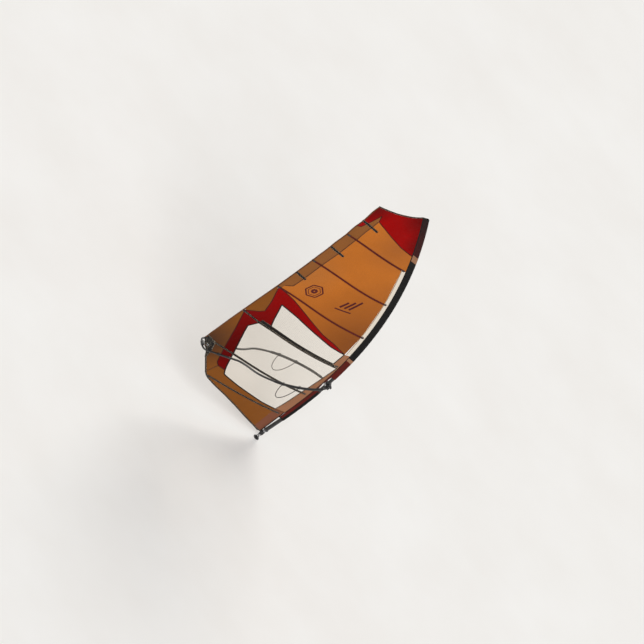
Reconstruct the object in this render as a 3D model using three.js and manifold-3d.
// Windsurf sail rig: mast, sail, boom and mast foot.
// Millimetres. +X points forward to the luff, +Z up along the mast's foot, -Y to the lee side (starboard).
// The origin is the middle of the deck plate's underside.
import * as THREE from 'three';
import { mergeVertices } from 'three/addons/utils/BufferGeometryUtils.js';
import Module from 'manifold-3d';

const wasm = await Module();
wasm.setup();

// ---------------------------------------------------------------- driving dimensions
const SEAM_GAP = 2;             // between two panels, which are sewn edge to edge
const CLOTH = 1.4;              // thickness of a sail panel
const MESH_GAP = 0.4;           // between pieces that touch
const PANEL_STEP = 230;         // longest facet of a panel

const MAST_HEEL_Z = 205;        // the mast stands on the extension's collar here
const MAST_JOINT_Z = 2480;      // where the two halves meet
const MAST_TIP_Z = 4570;
const MAST_HEEL_R = 28;
const MAST_TIP_R = 12;
const MAST_WALL = 3.2;
const FERRULE_HALF = 150;

const SLEEVE_WIDTH = 92;        // from the front of the sleeve to the seam behind it
const SLEEVE_CLEAR = 2.2;       // between mast and sleeve
const SLEEVE_WALL = 1.5;

const BATTEN_WIDTH = 12;
const BATTEN_THICK = 5;
const BATTEN_OFFSET = 6.5;      // the battens lie on the windward side of the cloth
const BATTEN_STEP = 260;

const BOOM_HEAD_Z = 1345;       // where the boom's axis crosses the mast
const CLEW = { x: -1762, z: 1088 };
const CLEW_RING_R = 15;
const CLEW_RING_TUBE_R = 4.5;
const ARM_R = 14;
const ARM_WALL = 1.6;
const GRIP_WALL = 3.2;
const TAIL_TUBE_R = 12;
const ARM_HALF_WIDTH = 255;     // half the boom's greatest width
const TAIL_HALF_WIDTH = 105;    // half the width between the parallel rear tubes
const LINE_R = 2.3;
const HARNESS_LINE_R = 5;

const PLATE_R = 42;
const PLATE_HEIGHT = 8;
const PITCH_Z = 42;             // trunnions across the board, in the deck yoke
const ROLL_Z = 70;              // trunnions along the board, in the swivel yoke
const CUP_BOTTOM_Z = 95;
const CUP_TOP_Z = 152;
const CUP_R = 30;
const SHEAVE_X = -52;           // the downhaul's sheaves stand behind the mast, on the windward side
const SHEAVE_YS = [21, 31];
const SHEAVE_R = 11.5;
const BLOCK_Y = 26;             // middle of both blocks
const BLOCK_CHEEKS = [[13.5, 16.2], [25.2, 26.8], [35.8, 38.5]];   // each plate's two faces
const CUP_SHEAVE_Z = 140;
const TACK_SHEAVE_Z = 262;

// ---------------------------------------------------------------- materials
const finish = (color, roughness, metalness = 0, opacity = 1) =>
  new THREE.MeshStandardMaterial({ color, roughness, metalness, opacity, transparent: opacity < 1 });
const LOOK = {
  orangeCloth: finish(0xbc702e, 0.5),
  brownCloth: finish(0x825226, 0.55),
  bandCloth: finish(0x875f3c, 0.55),
  redCloth: finish(0x960a08, 0.5),
  paleCloth: finish(0xb48264, 0.55),
  blackCloth: finish(0x141210, 0.7),
  maroonCloth: finish(0x5a1408, 0.6),
  film: finish(0xf0e8dc, 0.1, 0, 0.3),
  batten: finish(0x4a1216, 0.4),
  carbon: finish(0x16171a, 0.3),
  alloy: finish(0xa8abb0, 0.35, 1),
  steel: finish(0xc4c6c8, 0.25, 1),
  plastic: finish(0x1c1c1e, 0.45),
  foam: finish(0x232325, 0.9),
  line: finish(0x9a3020, 0.8),
};

const rig = new THREE.Group();

function add(name, geometry, material) {
  const mesh = new THREE.Mesh(geometry, material);
  mesh.name = name;
  rig.add(mesh);
  return mesh;
}

// ---------------------------------------------------------------- solids
// A closed geometry from points and triangles. Collapsed triangles go, and the faces point out.
function closedGeometry(points, faces) {
  const raw = new THREE.BufferGeometry();
  raw.setAttribute('position', new THREE.Float32BufferAttribute(points.flatMap((p) => [p.x, p.y, p.z]), 3));
  raw.setIndex(faces.flat());
  return tidied(raw);
}

function tidied(geometry) {
  const bare = geometry.clone();
  bare.deleteAttribute('normal');
  bare.deleteAttribute('uv');
  const merged = mergeVertices(bare, 1e-4);
  const index = merged.index.array;
  const at = merged.attributes.position;
  const kept = [];
  let volume = 0;
  const [a, b, c] = [new THREE.Vector3(), new THREE.Vector3(), new THREE.Vector3()];
  for (let i = 0; i < index.length; i += 3) {
    const [p, q, r] = index.slice(i, i + 3);
    if (p === q || q === r || r === p) continue;
    kept.push([p, q, r]);
    a.fromBufferAttribute(at, p);
    b.fromBufferAttribute(at, q);
    c.fromBufferAttribute(at, r);
    volume += a.dot(b.cross(c));
  }
  merged.setIndex(kept.flatMap(([p, q, r]) => (volume < 0 ? [p, r, q] : [p, q, r])));
  return merged;
}

function toManifold(geometry) {
  const clean = tidied(geometry);
  return new wasm.Manifold(new wasm.Mesh({
    numProp: 3,
    vertProperties: new Float32Array(clean.attributes.position.array),
    triVerts: new Uint32Array(clean.index.array),
  }));
}

function fromManifold(solid) {
  const mesh = solid.getMesh();
  const geometry = new THREE.BufferGeometry();
  geometry.setAttribute('position', new THREE.BufferAttribute(mesh.vertProperties, 3));
  geometry.setIndex(new THREE.BufferAttribute(mesh.triVerts, 1));
  return geometry;
}

function joined(...parts) {
  return fromManifold(parts.map(toManifold).reduce((a, b) => a.add(b)));
}

function cut(body, ...tools) {
  return fromManifold(tools.map(toManifold).reduce((a, b) => a.subtract(b), toManifold(body)));
}

// Two grids of points, back to back, with walls round their four edges.
function gridSolid(front, back) {
  const rows = front.length;
  const cols = front[0].length;
  const points = [...front.flat(), ...back.flat()];
  const id = (side, i, j) => side * rows * cols + i * cols + j;
  const faces = [];
  const quad = (p, q, r, s) => faces.push([p, q, r], [p, r, s]);
  for (let i = 0; i + 1 < rows; i++) {
    for (let j = 0; j + 1 < cols; j++) {
      quad(id(0, i, j), id(0, i + 1, j), id(0, i + 1, j + 1), id(0, i, j + 1));
      quad(id(1, i, j), id(1, i, j + 1), id(1, i + 1, j + 1), id(1, i + 1, j));
    }
    quad(id(0, i, 0), id(1, i, 0), id(1, i + 1, 0), id(0, i + 1, 0));
    quad(id(0, i, cols - 1), id(0, i + 1, cols - 1), id(1, i + 1, cols - 1), id(1, i, cols - 1));
  }
  for (let j = 0; j + 1 < cols; j++) {
    quad(id(0, 0, j), id(0, 0, j + 1), id(1, 0, j + 1), id(1, 0, j));
    quad(id(0, rows - 1, j), id(1, rows - 1, j), id(1, rows - 1, j + 1), id(0, rows - 1, j + 1));
  }
  return closedGeometry(points, faces);
}

// Rings of points, all of one count, skinned into a bar. With inner rings it is a pipe with open ends.
function loft(outer, inner = null) {
  const sides = outer[0].length;
  const points = outer.flat();
  const faces = [];
  const wall = (base, flip) => {
    for (let i = 0; i + 1 < outer.length; i++) {
      for (let j = 0; j < sides; j++) {
        const k = (j + 1) % sides;
        const [p, q] = [base + i * sides + j, base + i * sides + k];
        const [r, s] = [q + sides, p + sides];
        faces.push(...(flip ? [[p, r, q], [p, s, r]] : [[p, q, r], [p, r, s]]));
      }
    }
  };
  wall(0, false);
  const last = (outer.length - 1) * sides;
  if (inner) {
    const base = points.length;
    points.push(...inner.flat());
    wall(base, true);
    for (let j = 0; j < sides; j++) {
      const k = (j + 1) % sides;
      faces.push([j, base + k, k], [j, base + j, base + k]);
      faces.push([last + j, last + k, base + last + k], [last + j, base + last + k, base + last + j]);
    }
  } else {
    for (let j = 1; j + 1 < sides; j++) {
      faces.push([0, j + 1, j], [last, last + j, last + j + 1]);
    }
  }
  return closedGeometry(points, faces);
}

function ring(centre, along, side, radius, sides) {
  const up = new THREE.Vector3().crossVectors(along, side).normalize();
  return Array.from({ length: sides }, (_, i) => {
    const angle = (2 * Math.PI * (i + 0.5)) / sides;
    return centre.clone()
      .addScaledVector(side, radius * Math.cos(angle))
      .addScaledVector(up, radius * Math.sin(angle));
  });
}

// A round cord along hand-placed points, with the same count of steps between any two of them.
function cord(points, radius, stepsPerSpan, sides = 8) {
  const path = new THREE.CatmullRomCurve3(points, false, 'centripetal');
  const steps = (points.length - 1) * stepsPerSpan;
  const side = new THREE.Vector3(0.31, 0.83, 0.46);
  const rings = Array.from({ length: steps + 1 }, (_, i) => {
    const along = path.getTangent(i / steps);
    side.addScaledVector(along, -side.dot(along)).normalize();
    return ring(path.getPoint(i / steps), along, side.clone(), radius, sides);
  });
  return loft(rings);
}

function box(sizeX, sizeY, sizeZ, x, y, z) {
  return new THREE.BoxGeometry(sizeX, sizeY, sizeZ).translate(x, y, z);
}

// A cylinder along X, Y or Z between two places on that axis.
function rod(axis, radius, from, to, centre, sides = 16) {
  const geometry = new THREE.CylinderGeometry(radius, radius, to - from, sides);
  geometry.translate(0, (from + to) / 2, 0);
  if (axis === 'x') geometry.rotateZ(-Math.PI / 2);
  if (axis === 'z') geometry.rotateX(Math.PI / 2);
  return geometry.translate(...centre);
}

// A grooved wheel round the Y axis. Its profile closes on itself round the bore.
function sheave(radius, bore, width, sides = 16) {
  const half = width / 2;
  const rim = radius + 1.6;
  const groove = radius - 1.4;
  const profile = [[bore, -half], [rim, -half], [groove, 0], [rim, half], [bore, half], [bore, -half]];
  return new THREE.LatheGeometry(profile.map(([r, y]) => new THREE.Vector2(r, y)), sides);
}

// ---------------------------------------------------------------- the mast's line
const MAST_CURVE = new THREE.CubicBezierCurve3(
  new THREE.Vector3(0, 0, 100),
  new THREE.Vector3(26, 0, 536),
  new THREE.Vector3(473, 0, 2376),
  new THREE.Vector3(-994, 0, 4628),
);

// The share of the curve at a height.
function mastShare(z) {
  let [low, high] = [-0.1, 1.1];
  for (let i = 0; i < 40; i++) {
    const middle = (low + high) / 2;
    if (MAST_CURVE.getPoint(middle).z < z) low = middle;
    else high = middle;
  }
  return (low + high) / 2;
}

const mastX = (z) => MAST_CURVE.getPoint(mastShare(z)).x;

// The mast is nearly straight up to its joint and tapers above it.
function mastRadius(share) {
  return THREE.MathUtils.lerp(MAST_HEEL_R, MAST_TIP_R, 0.25 * share + 0.75 * share ** 2.4);
}

// Rings square to the mast's line, evenly spaced in height.
function mastRings(fromZ, toZ, steps, radiusAt, sides = 12) {
  const across = new THREE.Vector3(0, 1, 0);
  return Array.from({ length: steps + 1 }, (_, i) => {
    const share = mastShare(THREE.MathUtils.lerp(fromZ, toZ, i / steps));
    return ring(MAST_CURVE.getPoint(share), MAST_CURVE.getTangent(share), across, radiusAt(share), sides);
  });
}

// ---------------------------------------------------------------- the sail's surface
// Outline of the leech as [z, x], from the batten over the clew up to the head.
const LEECH = [[1188, -1890], [1899, -1846], [2562, -1807], [3326, -1778], [4495, -1729]];
const DRAFT = 0.035;            // depth of the lower sections, as a share of their chord
const DRAFT_FOOT = 0.014;
const DRAFT_HEAD = 0.018;
const DRAFT_PLACE = 0.4;        // where the deepest point lies along the chord
const LEECH_FLAT = 120;         // width of the flat run along the leech
const TWIST_DEGREES = 5;        // how far the head falls off to lee

function onLine(line, at) {
  let i = 0;
  while (i + 2 < line.length && at > line[i + 1][0]) i++;
  const [[a, va], [b, vb]] = [line[i], line[i + 1]];
  return va + ((vb - va) * (at - a)) / (b - a);
}

const leechX = (z) => onLine(LEECH, Math.max(z, LEECH[0][0]));
const sleeveFrontX = (z) => mastX(z) + mastRadius(mastShare(z)) + SLEEVE_CLEAR + SLEEVE_WALL;
const luffX = (z) => sleeveFrontX(z) - SLEEVE_WIDTH;

function sailY(x, z) {
  const chord = luffX(z) - leechX(z) - LEECH_FLAT;
  const place = Math.max((luffX(z) - x) / chord, 0);
  const fore = 1 - ((DRAFT_PLACE - place) / DRAFT_PLACE) ** 2;
  const aft = 1 - THREE.MathUtils.smoothstep(place, DRAFT_PLACE, 1);
  const low = THREE.MathUtils.lerp(DRAFT_FOOT, DRAFT, THREE.MathUtils.smoothstep(z, 100, 1400));
  const depth = THREE.MathUtils.lerp(low, DRAFT_HEAD, THREE.MathUtils.smoothstep(z, 2500, 4600));
  const twist = Math.tan(THREE.MathUtils.degToRad(TWIST_DEGREES)) * THREE.MathUtils.smoothstep(z, 1200, 4600);
  return -chord * (depth * (place < DRAFT_PLACE ? fore : aft) + twist * place);
}

const onSail = ([x, z], off = 0) => new THREE.Vector3(x, sailY(x, z) + off, z);

// A panel between two edges, given as pairs of [x, z] points that face each other.
// It is held back from its neighbours by half the seam gap all round.
function panel(name, pairs, material, step = PANEL_STEP) {
  const flat = pairs.map(([a, b]) => [new THREE.Vector2(...a), new THREE.Vector2(...b)]);
  const last = flat.length - 1;
  const inset = flat.map(([a, b], i) => {
    const across = b.clone().sub(a).setLength(SEAM_GAP / 2);
    return [a.clone().add(across), b.clone().sub(across)];
  });
  [[0, 1], [last, last - 1]].forEach(([end, next]) => {
    [0, 1].forEach((side) => {
      const along = flat[next][side].clone().sub(flat[end][side]);
      if (along.length() > SEAM_GAP) inset[end][side].add(along.setLength(SEAM_GAP / 2));
    });
  });
  const width = Math.max(...inset.map(([a, b]) => a.distanceTo(b)));
  const across = Math.max(1, Math.ceil(width / step));
  const rows = [];
  for (let i = 0; i < last; i++) {
    const length = Math.max(...[0, 1].map((side) => inset[i][side].distanceTo(inset[i + 1][side])));
    const steps = Math.max(1, Math.ceil(length / step));
    for (let k = i === 0 ? 0 : 1; k <= steps; k++) {
      const [a, b] = [0, 1].map((side) => inset[i][side].clone().lerp(inset[i + 1][side], k / steps));
      rows.push(Array.from({ length: across + 1 }, (_, j) => a.clone().lerp(b, j / across)));
    }
  }
  const face = (off) => rows.map((row) => row.map((p) => onSail([p.x, p.y], off)));
  return add(name, gridSolid(face(-CLOTH / 2), face(CLOTH / 2)), material);
}

// Straight line through two points, as x at z or as z at x.
const between = ([x1, z1], [x2, z2]) => (x) => z1 + ((z2 - z1) * (x - x1)) / (x2 - x1);

// Where an upright edge, given as a function from z to a point, meets a slanting line.
function meeting(edge, line) {
  let z = line(edge(2500)[0]);
  for (let i = 0; i < 30; i++) z = line(edge(z)[0]);
  return edge(z);
}

// ---------------------------------------------------------------- battens' lines, [x, z] from leech to luff
const BATTENS = [
  [[-1739, 3862], [-555, 3648]],
  [[-1778, 3212], [-317, 3005]],
  [[-1797, 2540], [-127, 2333]],
  [[-1831, 1899], [-1510, 1826], [-29, 1704]],
  [[-1886, 1188], [-930, 1115], [-29, 1047]],
  [[-1384, 626], [-633, 580], [-68, 550]],
];
const SHORT_BATTENS = [
  [[-1739, 4174], [-1407, 4081]],
  [[-1755, 3555], [-1478, 3487]],
  [[-1786, 2907], [-1583, 2854]],
];
const battenZ = BATTENS.map((line) => between(line[0], line[line.length - 1]));

function batten(name, line) {
  const path = [];
  for (let i = 0; i + 1 < line.length; i++) {
    const [a, b] = [new THREE.Vector2(...line[i]), new THREE.Vector2(...line[i + 1])];
    const steps = Math.ceil(a.distanceTo(b) / BATTEN_STEP);
    for (let k = i === 0 ? 0 : 1; k <= steps; k++) path.push(a.clone().lerp(b, k / steps));
  }
  const half = BATTEN_WIDTH / 2;
  const rings = path.map((p) => {
    const middle = onSail([p.x, p.y], BATTEN_OFFSET);
    const corner = (y, z) => middle.clone().add(new THREE.Vector3(0, (y * BATTEN_THICK) / 2, z * half));
    return [corner(-1, -1), corner(1, -1), corner(1, 1), corner(-1, 1)];
  });
  add(name, loft(rings), LOOK.batten);
}

// ---------------------------------------------------------------- sail panels
const HEAD_AFT = new THREE.Vector2(-1729, 4495);
const HEAD_FORE_Z = 4598;
const headEdge = new THREE.QuadraticBezierCurve(
  HEAD_AFT,
  new THREE.Vector2(-1363, 4466),
  new THREE.Vector2(luffX(HEAD_FORE_Z), HEAD_FORE_Z),
);
const onHead = (share) => headEdge.getPoint(share).toArray();
const luffAt = (z) => [luffX(z), z];

const HEAD_HEM = [
  [-1749, 4042], [-1670, 4062], [-1631, 4174], [-1563, 4352],
  [-1528, 4250], [-1403, 4198], [-1164, 4096], [-930, 4003],
];
const HEAD_HEM_FORE_Z = 3925;
const BAND_FOOT = [[-1724, 2604], [-1629, 2660]];
const BAND_HEAD = [[-1534, 4190], [-1532, 4244]];
const bandAt = (z) => [onLine([[2660, -1629], [4190, -1534]], z), z];
const BODY_XS = [-1403, -1164, -930];    // stations that the body panels share
const FILM_BOTTOM_Z = 1960;
const FILM_WIDTH = 80;
const filmAt = (z) => [luffX(z) - FILM_WIDTH, z];

// The red zigzag's edges, from the apex down.
const ZIGZAG_TOP = [[-438, 2079], [-684, 2148], [-930, 2245], [-1164, 2338], [-1417, 2437], [-1617, 2498]];
const ZIGZAG_TIP = [-141, 1963];
const ZIGZAG_APEX = [-1766, 2537];
const ZIGZAG_OUTER = [[-1653, 2262], [-1592, 2050], [-1646, 1997]];
const ZIGZAG_POINT = [-1834, 1900];
const ZIGZAG_LOWER = [[-1797, 1872], [-1670, 1539], [-1539, 1169], [-1446, 911], [-1388, 862]];
const UPPER_WINDOW_TOP = [[-438, 2012], [-684, 2083], [-930, 2148], [-1164, 2211]];
const UPPER_WINDOW_CORNER = [-1500, 2279];
const UPPER_WINDOW_AFT = [[-1388, 1997], [-1325, 1856]];
const LOWER_WINDOW_TOP = [[-1495, 1821], [-1578, 1690]];
const LOWER_WINDOW_AFT = [[-1538, 1568], [-1388, 1188], [-1300, 935], [-1262, 851]];
const WINDOW_SILL = [[-1218, 781], [-1164, 765], [-930, 711], [-684, 667], [-438, 623], [-180, 602]];
const WINDOW_FORE = [[-141, 1729], [-29, 1675]];
const FOOT = [[-1388, 609], [-1325, 575], [-1159, 516], [-930, 448], [-682, 360], [-438, 262], [-190, 166]];
const CLEW_EDGE = [[-1890, 1188], [-1722, 1012], [-1631, 881], [-1539, 774], [-1446, 660]];
const PATCH_TOP = [[-1886, 1250], [-1700, 1180], [-1640, 1010], [-1631, 889]];
const TACK_FORE_X = -38;
const TACK_BOTTOM = [[-190, 166], [-100, 126], [TACK_FORE_X, 126]];

function headPanel() {
  const shares = [0, 0.11, 0.15, 0.23, 0.27, 0.44, 0.77, 0.9];
  const pairs = HEAD_HEM.map((low, i) => [low, onHead(shares[i])]);
  pairs.push([luffAt(HEAD_HEM_FORE_Z), onHead(1)]);
  panel('head_panel', pairs, LOOK.redCloth);
}

function bodyPanels() {
  const [first, second, third] = battenZ;
  const hem = (x) => HEAD_HEM.find(([at]) => at === x)[1];
  const middle = (low, high) => BODY_XS.map((x) => [[x, low(x)], [x, high(x)]]);
  panel('body_panel_1', [
    [meeting(bandAt, first), BAND_HEAD[1]],
    ...middle(first, hem),
    [meeting(luffAt, first), luffAt(HEAD_HEM_FORE_Z)],
  ], LOOK.orangeCloth);
  panel('body_panel_2', [
    [meeting(bandAt, second), meeting(bandAt, first)],
    ...middle(second, first),
    [meeting(filmAt, second), meeting(filmAt, first)],
  ], LOOK.orangeCloth);
  panel('body_panel_3', [
    [[BAND_FOOT[0][0], third(BAND_FOOT[0][0])], BAND_FOOT[0]],
    [[BAND_FOOT[1][0], third(BAND_FOOT[1][0])], BAND_FOOT[1]],
    [[-1560, third(-1560)], meeting(bandAt, second)],
    ...middle(third, second),
    [meeting(filmAt, third), meeting(filmAt, second)],
  ], LOOK.orangeCloth);
  panel('body_panel_4', [
    [[-1617, 2498], [-1617, third(-1617)]],
    ...[...ZIGZAG_TOP].reverse().slice(1).map((low) => [low, [low[0], third(low[0])]]),
    [ZIGZAG_TIP, meeting(filmAt, third)],
  ], LOOK.orangeCloth);
}

function leechPanels() {
  const leech = (z) => [leechX(z), z];
  panel('leech_band', [
    [leech(2548), [BAND_FOOT[0][0], 2540]],
    [leech(2572), BAND_FOOT[0]],
    [leech(2660), BAND_FOOT[1]],
    ...[3190, 3830, 4034].map((z) => [leech(z), bandAt(z)]),
    [[-1672, 4055], bandAt(4110)],
    [[-1628, 4170], BAND_HEAD[0]],
    [[-1566, 4322], BAND_HEAD[1]],
  ], LOOK.bandCloth);
  panel('leech_panel', [
    [leech(2540), [ZIGZAG_APEX[0] - 5, 2525]],
    [leech(2262), ZIGZAG_OUTER[0]],
    [leech(2060), ZIGZAG_OUTER[1]],
    [leech(1997), ZIGZAG_OUTER[2]],
    [leech(1925), [-1790, 1923]],
  ], LOOK.brownCloth);
  panel('clew_panel', [
    [leech(1880), ZIGZAG_LOWER[0]],
    [leech(1539), ZIGZAG_LOWER[1]],
    [PATCH_TOP[0], ZIGZAG_LOWER[2]],
    [PATCH_TOP[1], [-1526, 1132]],
    [PATCH_TOP[2], [-1487, 1018]],
    [CLEW_EDGE[2], ZIGZAG_LOWER[3]],
    [CLEW_EDGE[4], ZIGZAG_LOWER[4]],
  ], LOOK.brownCloth);
}

function clewPatch() {
  const patch = panel('clew_patch', [
    [PATCH_TOP[0], CLEW_EDGE[0]],
    [PATCH_TOP[1], [-1790, 1058]],
    [PATCH_TOP[2], [-1716, 1008]],
    [PATCH_TOP[3], [-1638, 880]],
  ], LOOK.blackCloth, 90);
  const hole = rod('y', CLEW_RING_R + CLEW_RING_TUBE_R + MESH_GAP, -12, 12, [CLEW.x, 0, CLEW.z], 20);
  patch.geometry = cut(patch.geometry, hole);
  const clewRing = new THREE.TorusGeometry(CLEW_RING_R, CLEW_RING_TUBE_R, 8, 20);
  clewRing.rotateX(Math.PI / 2).translate(CLEW.x, sailY(CLEW.x, CLEW.z), CLEW.z);
  add('clew_ring', clewRing, LOOK.steel);
}

function zigzagPanel() {
  panel('zigzag_panel', [
    [[-190, 1966], [-190, 1981]],
    ...UPPER_WINDOW_TOP.map((low, i) => [low, ZIGZAG_TOP[i]]),
    [[-1417, 2262], ZIGZAG_TOP[4]],
    [UPPER_WINDOW_CORNER, ZIGZAG_TOP[5]],
    [UPPER_WINDOW_CORNER, ZIGZAG_APEX],
    [UPPER_WINDOW_CORNER, ZIGZAG_OUTER[0]],
    [UPPER_WINDOW_AFT[0], ZIGZAG_OUTER[1]],
    [UPPER_WINDOW_AFT[1], ZIGZAG_OUTER[2]],
    [LOWER_WINDOW_TOP[0], ZIGZAG_POINT],
    [LOWER_WINDOW_TOP[1], ZIGZAG_LOWER[0]],
    [LOWER_WINDOW_AFT[0], ZIGZAG_LOWER[1]],
    [LOWER_WINDOW_AFT[1], ZIGZAG_LOWER[2]],
    [LOWER_WINDOW_AFT[2], ZIGZAG_LOWER[3]],
    [LOWER_WINDOW_AFT[3], ZIGZAG_LOWER[4]],
  ], LOOK.redCloth);
}

function windows() {
  const upperSill = between(UPPER_WINDOW_AFT[1], [-141, 1729]);
  panel('upper_window', [
    [[-1470, 2210], UPPER_WINDOW_CORNER],
    [UPPER_WINDOW_AFT[0], [-1417, 2262]],
    [UPPER_WINDOW_AFT[1], UPPER_WINDOW_TOP[3]],
    ...[...UPPER_WINDOW_TOP].reverse().slice(1).map((top) => [[top[0], upperSill(top[0])], top]),
    [[-141, 1729], [-141, 1956]],
  ], LOOK.film);
  const lowerTop = between(LOWER_WINDOW_TOP[0], WINDOW_FORE[1]);
  panel('lower_window', [
    [LOWER_WINDOW_AFT[0], LOWER_WINDOW_TOP[1]],
    [LOWER_WINDOW_AFT[1], LOWER_WINDOW_TOP[0]],
    [LOWER_WINDOW_AFT[2], [-1300, lowerTop(-1300)]],
    [WINDOW_SILL[0], [-1218, lowerTop(-1218)]],
    ...WINDOW_SILL.slice(1, 5).map((low) => [low, [low[0], lowerTop(low[0])]]),
    [WINDOW_SILL[5], WINDOW_FORE[1]],
  ], LOOK.film);
}

function footPanels() {
  panel('foot_panel', [
    [[-1440, 655], [-1390, 860]],
    [FOOT[0], [-1262, 849]],
    [FOOT[1], WINDOW_SILL[0]],
    ...WINDOW_SILL.slice(1, 5).map((top, i) => [FOOT[i + 2], top]),
    [FOOT[6], WINDOW_SILL[5]],
  ], LOOK.brownCloth);
  panel('tack_panel', [
    [TACK_BOTTOM[0], [-180, 600]],
    [TACK_BOTTOM[1], [-100, 600]],
    [TACK_BOTTOM[2], [luffX(600) - 4, 600]],
  ], LOOK.paleCloth);
}

function luffPanels() {
  panel('luff_film', [
    [filmAt(1966), luffAt(1966)],
    ...[2333, 2700, 3005, 3350].map((z) => [filmAt(z), luffAt(z)]),
    [meeting(filmAt, battenZ[0]), meeting(luffAt, battenZ[0])],
  ], LOOK.film);
  const windowEdge = (z) => onLine([[602, -180], [1675, -29]], z);
  panel('luff_strip', [
    [[-178, 604], luffAt(604)],
    ...[900, 1180, 1400].map((z) => [[windowEdge(z), z], luffAt(z)]),
    [WINDOW_FORE[1], luffAt(1675)],
    [[-139, 1735], luffAt(1735)],
    [[-139, 1958], luffAt(1958)],
  ], LOOK.paleCloth);
}

// ---------------------------------------------------------------- luff sleeve
// A teardrop round the mast at one height: a round nose and two straight flanks to the seam.
function teardrop(z, radius, tailX, tailHalf) {
  const centre = mastX(z);
  const nose = [-100, -60, -20, 20, 60, 100].map((degrees) => {
    const angle = THREE.MathUtils.degToRad(degrees);
    return new THREE.Vector3(centre + radius * Math.cos(angle), radius * Math.sin(angle), z);
  });
  const tail = [1, -1].map((side) => new THREE.Vector3(tailX, side * tailHalf, z));
  return [...nose, ...tail];
}

function sleeve(name, from, to, steps, material) {
  const heights = Array.from({ length: steps + 1 }, (_, i) => THREE.MathUtils.lerp(from, to, i / steps));
  const noseFacet = 1 / Math.cos(THREE.MathUtils.degToRad(20));
  const rings = (off, back, half) => heights.map((z) => {
    const slope = Math.hypot(1, (mastX(z + 5) - mastX(z - 5)) / 10);
    const clear = (mastRadius(mastShare(z)) + SLEEVE_CLEAR) * slope;
    return teardrop(z, (clear + off) * noseFacet, luffX(z) + back, half);
  });
  add(name, loft(rings(SLEEVE_WALL, SEAM_GAP, 2.4), rings(0, SEAM_GAP + 6, 0.8)), material);
}

// ---------------------------------------------------------------- mast and extension
function mast() {
  const inner = (share) => mastRadius(share) - MAST_WALL;
  const half = (name, from, to) =>
    add(name, loft(mastRings(from, to, 10, mastRadius), mastRings(from, to, 10, inner)), LOOK.carbon);
  half('mast_bottom', MAST_HEEL_Z, MAST_JOINT_Z);
  half('mast_top', MAST_JOINT_Z + MESH_GAP, MAST_TIP_Z);
  const snug = inner(mastShare(MAST_JOINT_Z + FERRULE_HALF)) - 1.6;
  const ferrule = mastRings(MAST_JOINT_Z - FERRULE_HALF, MAST_JOINT_Z + FERRULE_HALF, 3, () => snug);
  add('mast_ferrule', loft(ferrule), LOOK.carbon);
  const stem = inner(mastShare(MAST_TIP_Z)) - 1.5;
  const plug = [[-20, stem], [MESH_GAP, stem], [MESH_GAP + 0.1, MAST_TIP_R], [14, MAST_TIP_R - 2]];
  const plugRing = ([up, r]) => mastRings(MAST_TIP_Z + up, MAST_TIP_Z + up, 1, () => r)[0];
  add('mast_tip', loft(plug.map(plugRing)), LOOK.plastic);
}

// The extension follows the mast's line from the cup into the heel.
function extension() {
  const radius = MAST_HEEL_R - MAST_WALL - 1.4;
  const pipe = (from, to, r) => mastRings(from, to, 2, () => r);
  const tube = (r) => pipe(CUP_TOP_Z + 3, 400, r);
  add('extension_tube', loft(tube(radius), tube(radius - 2.5)), LOOK.alloy);
  const collar = (r) => pipe(MAST_HEEL_Z - 20, MAST_HEEL_Z - 3, r);
  add('extension_collar', loft(collar(MAST_HEEL_R + 5), collar(radius + 1)), LOOK.plastic);
}

function cup() {
  const body = new THREE.LatheGeometry([
    [0, 132], [10.4, 132], [10.4, CUP_BOTTOM_Z], [CUP_R - 3, CUP_BOTTOM_Z], [CUP_R, CUP_BOTTOM_Z + 4],
    [CUP_R, CUP_TOP_Z - 4], [CUP_R - 3, CUP_TOP_Z], [0, CUP_TOP_Z],
  ].map(([r, z]) => new THREE.Vector2(r, z)), 24).rotateX(Math.PI / 2);
  const housing = box(48, 25, 30, SHEAVE_X + 9, BLOCK_Y, 130);
  const axle = rod('y', 3, 13.5, 38.5, [SHEAVE_X, 0, CUP_SHEAVE_Z], 12);
  const ears = BLOCK_CHEEKS.map(([from, to]) =>
    box(15, to - from, 30, SHEAVE_X, (from + to) / 2, CUP_SHEAVE_Z - 2));
  const slots = SHEAVE_YS.map((y) => box(34, 9, 31, SHEAVE_X + 0.5, y, 138));
  const bored = cut(joined(body, housing), rod('z', 10.4, CUP_BOTTOM_Z - 1, 132, [0, 0, 0], 24), ...slots);
  const bridges = box(17, 25, 4, SHEAVE_X - 5, BLOCK_Y, 119);
  const cleat = cut(box(14, 16, 24, -14, 42, 134), box(5.6, 5, 26, -14, 48, 134));
  add('extension_cup', joined(bored, bridges, ...ears, axle, cleat), LOOK.plastic);
  SHEAVE_YS.forEach((y, i) => {
    const wheel = sheave(SHEAVE_R, 3.5, 6).translate(SHEAVE_X, y, CUP_SHEAVE_Z);
    add(['cup_sheave_inner', 'cup_sheave_outer'][i], wheel, LOOK.alloy);
  });
}

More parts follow.
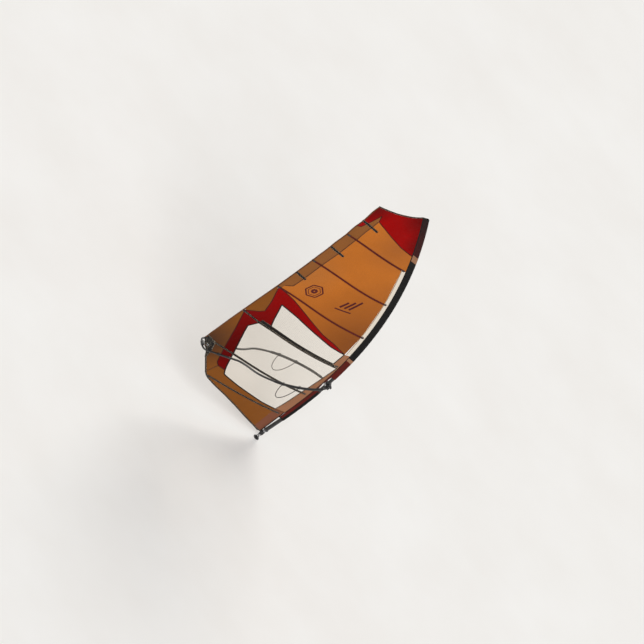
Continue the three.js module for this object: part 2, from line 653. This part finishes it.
function tackBlock() {
  const hookZ = TACK_SHEAVE_Z + 36;
  const cheeks = BLOCK_CHEEKS.map(([from, to]) =>
    box(20, to - from, 36, SHEAVE_X, (from + to) / 2, TACK_SHEAVE_Z));
  const crown = box(20, 25, 6, SHEAVE_X, BLOCK_Y, TACK_SHEAVE_Z + 21);
  const hook = rod('x', 3, -10, 10, [SHEAVE_X, BLOCK_Y, hookZ], 10);
  const hangers = [-8.5, 8.5].map((x) => box(3, 8, 18, SHEAVE_X + x, BLOCK_Y, TACK_SHEAVE_Z + 30));
  const axle = rod('y', 3, 13.5, 38.5, [SHEAVE_X, 0, TACK_SHEAVE_Z], 12);
  const becket = box(6, 1.6, 12, SHEAVE_X, BLOCK_Y, TACK_SHEAVE_Z - 20);
  add('tack_block', joined(...cheeks, crown, hook, ...hangers, axle, becket), LOOK.steel);
  SHEAVE_YS.forEach((at, i) => {
    const wheel = sheave(SHEAVE_R, 3.5, 6).translate(SHEAVE_X, at, TACK_SHEAVE_Z);
    add(['tack_sheave_inner', 'tack_sheave_outer'][i], wheel, LOOK.alloy);
  });
  tackWebbing(BLOCK_Y, hookZ);
}

// One strap, from the cloth down round the block's hook and back up.
function tackWebbing(y, hookZ) {
  const [sewnY, sewnTop, halfWidth, halfThick] = [4, 430, 6.5, 0.7];
  const line = [
    [sewnY + 2.2, sewnTop], [sewnY + 2.2, 372], [y + 4.6, hookZ + 6], [y + 4.6, hookZ - 2],
    [y + 1.5, hookZ - 4.7], [y - 1.5, hookZ - 4.7],
    [y - 4.6, hookZ - 2], [y - 4.6, hookZ + 6], [sewnY, 362], [sewnY, sewnTop],
  ];
  const side = (x, off) => line.map(([py, pz], i) => {
    const before = new THREE.Vector2(...line[Math.max(i - 1, 0)]);
    const after = new THREE.Vector2(...line[Math.min(i + 1, line.length - 1)]);
    const out = after.sub(before).normalize();
    return new THREE.Vector3(SHEAVE_X + x, py + out.y * off, pz - out.x * off);
  });
  const grid = (off) => [side(-halfWidth, off), side(halfWidth, off)];
  add('tack_webbing', gridSolid(grid(-halfThick), grid(halfThick)), LOOK.blackCloth);
}

// Dead end on the block, then round cup, block, cup and block, and down to the cleat.
function downhaulLine() {
  const reach = SHEAVE_R + LINE_R + 0.6;
  const [inner, outer] = SHEAVE_YS;
  const point = (x, y, z) => new THREE.Vector3(x, y, z);
  const wrap = (y, z, turn) => [0, 45, 90, 135, 180].map((degrees) => {
    const angle = THREE.MathUtils.degToRad(degrees);
    return point(SHEAVE_X + turn * reach * Math.cos(angle), y, z - Math.sin(angle) * reach * turn);
  });
  const points = [
    point(SHEAVE_X, 26, 233), point(SHEAVE_X + 3, 25.2, 222), point(SHEAVE_X + 10, 22, 175),
    ...wrap(inner, CUP_SHEAVE_Z, 1),
    point(SHEAVE_X - reach, inner, 200),
    ...wrap(inner, TACK_SHEAVE_Z, -1),
    point(SHEAVE_X + reach, 26, 200),
    ...wrap(outer, CUP_SHEAVE_Z, 1),
    point(SHEAVE_X - reach, outer, 200),
    ...wrap(outer, TACK_SHEAVE_Z, -1),
    point(SHEAVE_X + 19, 38, 205), point(SHEAVE_X + 36, 48.2, 160),
    point(SHEAVE_X + 38, 48.2, 144), point(SHEAVE_X + 38, 48.2, 126), point(SHEAVE_X + 38, 48.2, 117),
  ];
  add('downhaul_line', cord(points, LINE_R, 2), LOOK.line);
}

// ---------------------------------------------------------------- mast foot
const EAR_HALF = 11;            // half width, and end radius, of a fork's ear
const EAR_INNER = 14.5;         // from the middle to an ear's inner and outer face
const EAR_OUTER = 22;
const TRUNNION_R = 5;
const PIN_R = 10;               // swivel pin that turns in the cup
const BRIDGE_BOTTOM_Z = 84.5;
const BRIDGE_TOP_Z = 92;
const DECK_YOKE_TOP_Z = 18;

// Two ears with round ends at the pivot. direction is 1 where they stand below their bridge.
function fork(direction, pivotZ, floorZ, pivotAxis) {
  const reach = (floorZ - pivotZ) * direction;
  const thick = EAR_OUTER - EAR_INNER;
  const z = pivotZ + (direction * reach) / 2;
  return [-1, 1].map((side) => {
    const middle = (side * (EAR_INNER + EAR_OUTER)) / 2;
    const ear = pivotAxis === 'x'
      ? box(thick, 2 * EAR_HALF, reach, middle, 0, z)
      : box(2 * EAR_HALF, thick, reach, 0, middle, z);
    const lug = rod(pivotAxis, EAR_HALF, middle - thick / 2, middle + thick / 2, [0, 0, pivotZ], 20);
    return joined(ear, lug);
  });
}

function mastFoot() {
  const origin = [0, 0, 0];
  const bore = (axis, z) => rod(axis, TRUNNION_R + MESH_GAP, -30, 30, [0, 0, z], 20);
  const trunnion = (axis, z) => rod(axis, TRUNNION_R, 0.5 - EAR_OUTER, EAR_OUTER - 0.5, [0, 0, z], 20);

  const bridgeHeight = BRIDGE_TOP_Z - BRIDGE_BOTTOM_Z;
  const bridge = box(2 * EAR_OUTER + 1, 26, bridgeHeight, 0, 0, BRIDGE_BOTTOM_Z + bridgeHeight / 2);
  const pin = rod('z', PIN_R, BRIDGE_TOP_Z - 1, 131, origin, 24);
  const swivel = joined(bridge, pin, ...fork(1, ROLL_Z, 86, 'x'));
  add('swivel_yoke', cut(swivel, bore('x', ROLL_Z)), LOOK.plastic);

  const linkTop = ROLL_Z + 9.5;
  const block = box(26, 18, linkTop - 33, 0, 0, (linkTop + 33) / 2);
  const lowBlock = box(18, 26, 20, 0, 0, PITCH_Z);
  const link = joined(lowBlock, block, trunnion('x', ROLL_Z), trunnion('y', PITCH_Z));
  add('cross_link', link, LOOK.steel);

  const base = rod('z', 26, PLATE_HEIGHT + MESH_GAP, DECK_YOKE_TOP_Z, origin, 24);
  const deckYoke = joined(base, ...fork(-1, PITCH_Z, 16, 'y'));
  add('deck_yoke', cut(deckYoke, bore('y', PITCH_Z)), LOOK.plastic);
  add('deck_plate', rod('z', PLATE_R, 0, PLATE_HEIGHT, origin, 36), LOOK.plastic);
}

// ---------------------------------------------------------------- boom
// The boom's own frame: "aft" runs from the mast to the clew, "up" is square to it in the sail's plane.
const HEAD = new THREE.Vector3(mastX(BOOM_HEAD_Z), 0, BOOM_HEAD_Z);
const AFT = new THREE.Vector3(CLEW.x, 0, CLEW.z).sub(HEAD).normalize();
const UP = new THREE.Vector3(0, 1, 0).cross(AFT).normalize();
const BOOM_TILT = Math.atan2(-AFT.z, -AFT.x);
const inBoom = (aft, y, up = 0) =>
  HEAD.clone().addScaledVector(AFT, aft).addScaledVector(UP, up).add(new THREE.Vector3(0, y, 0));

const ARM_END = 1710;
const ARM_STRAIGHT = 1380;      // behind this the arms are straight and parallel
const TAIL_TUBE_START = 1500;
const TAIL_END = 1945;
const GRIP_START = 3;           // stations of the arm between which the grip lies
const GRIP_END = 11;
const ARM_STEPS = 18;

// Half the boom's inner width at places along it, from the head's socket to the straight rear part.
const ARM_POINTS = [
  [-2, 58], [90, 112], [260, 178], [520, 234], [800, ARM_HALF_WIDTH], [1080, 222], [1270, 141],
  [ARM_STRAIGHT, TAIL_HALF_WIDTH + 2], [ARM_STRAIGHT + 60, TAIL_HALF_WIDTH],
];

function armPath(side) {
  return new THREE.SplineCurve(ARM_POINTS.map(([aft, y]) => new THREE.Vector2(aft, y * side)));
}

function armStations(side) {
  const path = armPath(side);
  const bent = Array.from({ length: ARM_STEPS - 1 }, (_, i) => {
    const share = i / (ARM_STEPS - 2);
    return { at: path.getPointAt(share), along: path.getTangentAt(share) };
  });
  const straight = { at: new THREE.Vector2(ARM_END, side * TAIL_HALF_WIDTH), along: new THREE.Vector2(1, 0) };
  bent[bent.length - 1].along = straight.along;
  return [...bent, straight];
}

const armRings = (stations, radius) => stations.map(({ at, along }) => {
  const direction = AFT.clone().multiplyScalar(along.x).add(new THREE.Vector3(0, along.y, 0)).normalize();
  return ring(inBoom(at.x, at.y), direction, UP, radius, 10);
});

function boomArm(name, side) {
  const stations = armStations(side);
  add(`boom_arm_${name}`, loft(armRings(stations, ARM_R), armRings(stations, ARM_R - ARM_WALL)), LOOK.carbon);
  const held = stations.slice(GRIP_START - 2, GRIP_END);
  const skin = loft(armRings(held, ARM_R + MESH_GAP + GRIP_WALL), armRings(held, ARM_R + MESH_GAP));
  add(`boom_grip_${name}`, skin, LOOK.foam);
}

// Both inner tubes and the bow that joins them behind the clew are one piece.
function boomTail() {
  const y = TAIL_HALF_WIDTH;
  const bow = [];
  const [bendAft, bendR] = [TAIL_END - 62, 62];
  bow.push([TAIL_TUBE_START, y], [bendAft - 60, y]);
  [0, 30, 60, 90].forEach((degrees) => {
    const angle = THREE.MathUtils.degToRad(degrees);
    bow.push([bendAft + bendR * Math.sin(angle), y - bendR + bendR * Math.cos(angle)]);
  });
  const far = [...bow].reverse().map(([aft, at]) => [aft, -at]);
  const line = [...bow, ...far].map(([aft, at]) => new THREE.Vector2(aft, at));
  const rings = line.map((at, i) => {
    const before = line[Math.max(i - 1, 0)];
    const after = line[Math.min(i + 1, line.length - 1)];
    const along = after.clone().sub(before).normalize();
    const direction = AFT.clone().multiplyScalar(along.x).add(new THREE.Vector3(0, along.y, 0)).normalize();
    return ring(inBoom(at.x, at.y), direction, UP, TAIL_TUBE_R, 10);
  });
  const tubes = toManifold(loft(rings));
  const local = new THREE.Matrix4().makeBasis(AFT, new THREE.Vector3(0, 1, 0), UP).setPosition(HEAD);
  const placed = (geometry) => geometry.clone().applyMatrix4(local);
  const fitting = placed(box(34, 76, 30, TAIL_END - 5, 0, 0));
  const slot = placed(box(40, 9, 24, TAIL_END - 12, 24, 0));
  const axle = placed(rod('y', 2.6, 18, 30, [TAIL_END - 12, 0, 0], 12));
  const whole = tubes.add(toManifold(fitting)).subtract(toManifold(slot)).add(toManifold(axle));
  add('boom_tail', fromManifold(whole), LOOK.plastic);
  const wheel = placed(sheave(5.4, 3.0, 6, 14).translate(TAIL_END - 12, 24, 0));
  add('tail_sheave', tidied(wheel), LOOK.alloy);
}

// From the tail's port side through the clew ring to the sheave on its starboard side.
function outhaulLine() {
  const front = TAIL_END - 23;
  const ringAft = HEAD.distanceTo(new THREE.Vector3(CLEW.x, 0, CLEW.z));
  const hole = ringAft + CLEW_RING_R - CLEW_RING_TUBE_R - LINE_R - 0.9;
  const route = [
    [front, -24, 0], [front - 50, -20, 0], [ringAft + 46, -16, 0], [ringAft + 20, -11, 0],
    [hole + 1, -6.4, 0], [hole, 0, 0], [hole + 1, 6.4, 0],
    [ringAft + 20, 11, 0], [ringAft + 46, 16, 0], [front - 50, 22, 4],
    [front - 6, 24, 7.9], [front + 8, 24, 8.7],
  ];
  add('outhaul_line', cord(route.map((p) => inBoom(...p)), LINE_R, 2), LOOK.line);
}

// The head's cup holds the mast from the front, and a band closes behind it.
// Its frame: X forward, Y to port, Z along the mast.
const HEAD_HALF_HEIGHT = 33;
const BAND_AFT = -26;           // the cup ends here, and the band goes on behind the mast
const mastAtHead = MAST_CURVE.getTangent(mastShare(BOOM_HEAD_Z));
const headFrame = new THREE.Matrix4().compose(
  HEAD,
  new THREE.Quaternion().setFromUnitVectors(new THREE.Vector3(0, 0, 1), mastAtHead),
  new THREE.Vector3(1, 1, 1),
);
const inHead = (geometry) => geometry.clone().applyMatrix4(headFrame);

function boomHead() {
  const bore = mastRadius(mastShare(BOOM_HEAD_Z)) + 4;
  const shell = rod('z', bore + 14, -HEAD_HALF_HEIGHT, HEAD_HALF_HEIGHT, [0, 0, 0], 32);
  const nose = rod('z', 26, -24, 24, [bore + 2, 0, 0], 24);
  const noseFace = box(16, 60, 44, bore + 20, 0, 0);
  const shoulders = [-1, 1].map((side) => box(44, 34, 44, 6, side * 50, 0));
  const hollow = rod('z', bore, -60, 60, [0, 0, 0], 32);
  const behind = box(80, 200, 90, BAND_AFT - 40, 0, 0);
  const hoop = (inner, outer, half, fore) => cut(
    rod('z', outer, -half, half, [0, 0, 0], 32),
    rod('z', inner, -20, 20, [0, 0, 0], 32),
    box(120, 140, 60, 60 + fore, 0, 0),
  );
  const bandSlot = hoop(bore + 3.8, bore + 8.2, 13.5, BAND_AFT + 18);
  const hinge = box(13, 14, 50, bore + 33, 30, 0);
  const gap = box(14, 15, 32, bore + 33.5, 30, 0);
  const pinHole = rod('z', 3.4, -30, 30, [bore + 33, 30, 0], 12);
  const solid = cut(joined(shell, nose, noseFace, ...shoulders, hinge), hollow, behind, bandSlot, gap);
  const arms = [-1, 1].map((side) => loft(armRings(armStations(side).slice(0, 3), ARM_R + MESH_GAP)));
  const armPockets = [-1, 1].map((side) => {
    const [first, second] = armStations(side);
    const back = first.at.clone().addScaledVector(first.along, -6);
    return loft(armRings([{ at: back, along: first.along }, second], ARM_R + 1));
  });
  add('boom_head', cut(inHead(cut(solid, pinHole)), ...arms, ...armPockets), LOOK.plastic);

  add('clamp_band', inHead(hoop(bore + 4.5, bore + 7.5, 12, BAND_AFT + 16)), LOOK.steel);

  const leverPin = rod('z', 3, -24.6, 24.6, [bore + 33, 30, 0], 12);
  const knuckle = rod('z', 6, -15.4, 15.4, [bore + 33, 30, 0], 16);
  const handle = box(7, 72, 30, bore + 35.5, -6, 0);
  add('clamp_lever', inHead(joined(leverPin, knuckle, handle)), LOOK.plastic);
}

// A limp loop of line under each arm, between two straps.
const HARNESS_SHARES = [0.33, 0.5];   // where the loop's ends hang, as shares of the arm's length
const HARNESS_SAG = 255;
const HARNESS_SHAPE = [[0, 0], [0.02, 0.2], [0.1, 0.52], [0.24, 0.83], [0.4, 0.97], [0.5, 1]];

function harnessLine(name, side) {
  const path = armPath(side);
  const drop = ARM_R + MESH_GAP + GRIP_WALL + HARNESS_LINE_R;
  const [a, b] = HARNESS_SHARES.map((share) => {
    const at = path.getPointAt(share);
    return inBoom(at.x, at.y).add(new THREE.Vector3(0, 0, -drop));
  });
  const farHalf = HARNESS_SHAPE.slice(0, -1).reverse().map(([share, depth]) => [1 - share, depth]);
  const points = [...HARNESS_SHAPE, ...farHalf].map(([share, depth]) =>
    a.clone().lerp(b, share).add(new THREE.Vector3(0, 0, -HARNESS_SAG * depth)));
  add(`harness_line_${name}`, cord(points, HARNESS_LINE_R, 2), LOOK.plastic);
}

// ---------------------------------------------------------------- assembly
headPanel();
bodyPanels();
leechPanels();
clewPatch();
zigzagPanel();
windows();
footPanels();
luffPanels();
BATTENS.forEach((line, i) => batten(`batten_${i + 1}`, line));
SHORT_BATTENS.forEach((line, i) => batten(`short_batten_${i + 1}`, line));
sleeve('head_sleeve', 3849, 4594, 6, LOOK.redCloth);
sleeve('upper_sleeve', 1926, 3846, 10, LOOK.blackCloth);
sleeve('middle_sleeve', 1500, 1923, 3, LOOK.maroonCloth);
sleeve('lower_sleeve', 487, 1190, 4, LOOK.maroonCloth);
mast();
extension();
cup();
tackBlock();
downhaulLine();
mastFoot();
boomHead();
[['starboard', -1], ['port', 1]].forEach(([name, side]) => {
  boomArm(name, side);
  harnessLine(name, side);
});
boomTail();
outhaulLine();

export default rig;
